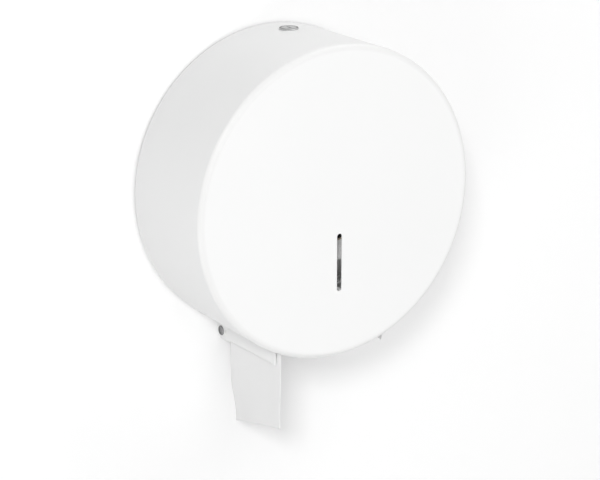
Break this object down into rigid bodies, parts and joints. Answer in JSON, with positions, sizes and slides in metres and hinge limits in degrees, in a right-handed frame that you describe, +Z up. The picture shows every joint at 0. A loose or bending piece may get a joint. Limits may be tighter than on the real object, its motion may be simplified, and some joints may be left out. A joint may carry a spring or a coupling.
{
  "type": "jumbo toilet roll dispenser",
  "caption": "Round wall dispenser for a jumbo toilet roll: a white steel drum cover that swings down on hinge pins, with a level slot, a top lock, a spindle and hub, and loose paper below.",
  "frame": {"origin": "on the wall plane at the middle of the wall screw pattern, which is the drum's axis", "axes": "+Y into the wall along the screws and the drum's axis, -Y out into the room, +X to the right seen from the room, +Z up"},
  "size_m": [0.31, 0.124, 0.4005],
  "materials": {
    "white_enamel": "satin",
    "zinc_plate": "satin",
    "dark_steel": "satin",
    "polished_lock": "satin",
    "nylon": "matte",
    "hub_plastic": "matte",
    "core_board": "matte",
    "tissue": "matte"
  },
  "bodies": {
    "back": {"back_plate": "white_enamel", "cheek_left": "white_enamel", "cheek_right": "white_enamel", "cheek_rivets": "zinc_plate", "hinge_pin_left": "dark_steel", "hinge_pin_right": "dark_steel", "hinge_washers": "nylon", "spindle_flange": "zinc_plate", "spindle_rivets": "zinc_plate", "spindle_tube": "zinc_plate", "spindle_insert": "zinc_plate", "spindle_spacer": "nylon", "spindle_cap": "hub_plastic", "cap_screw": "zinc_plate", "lock_catch": "zinc_plate", "catch_rivets": "zinc_plate"},
    "cover": {"cover_face": "white_enamel", "cover_band": "white_enamel", "hinge_lug_left": "white_enamel", "hinge_lug_right": "white_enamel", "lock_body": "polished_lock", "lock_washer": "zinc_plate", "lock_nut": "zinc_plate"},
    "lock": {"lock_plug": "polished_lock", "lock_cam": "zinc_plate", "cam_screw": "zinc_plate"},
    "roll": {"core_hub": "hub_plastic", "roll_core": "core_board", "paper_roll": "tissue"},
    "tail": {"paper_tail": "tissue"}
  },
  "joints": [
    {"name": "cover_hinge", "type": "hinge", "parent": "back", "child": "cover", "pos_m": [0, -0.0105, -0.151], "axis": [1, 0, 0], "range_deg": [0, 92], "deforming": ["paper_tail"]},
    {"name": "lock_turn", "type": "hinge", "parent": "cover", "child": "lock", "pos_m": [0, -0.035, 0.155], "axis": [0, 0, -1], "range_deg": [0, 90]},
    {"name": "roll_spin", "type": "hinge", "parent": "back", "child": "roll", "pos_m": [0, -0.065, 0], "axis": [0, 1, 0], "continuous": true},
    {"name": "paper_pull", "type": "slide", "parent": "back", "child": "tail", "axis": [0, 0, 1], "range_m": [-0.12, 0]}
  ],
  "couplings": [
    {"joint": "roll_spin", "follows": "paper_pull", "rad_per_m": 16.667}
  ]
}
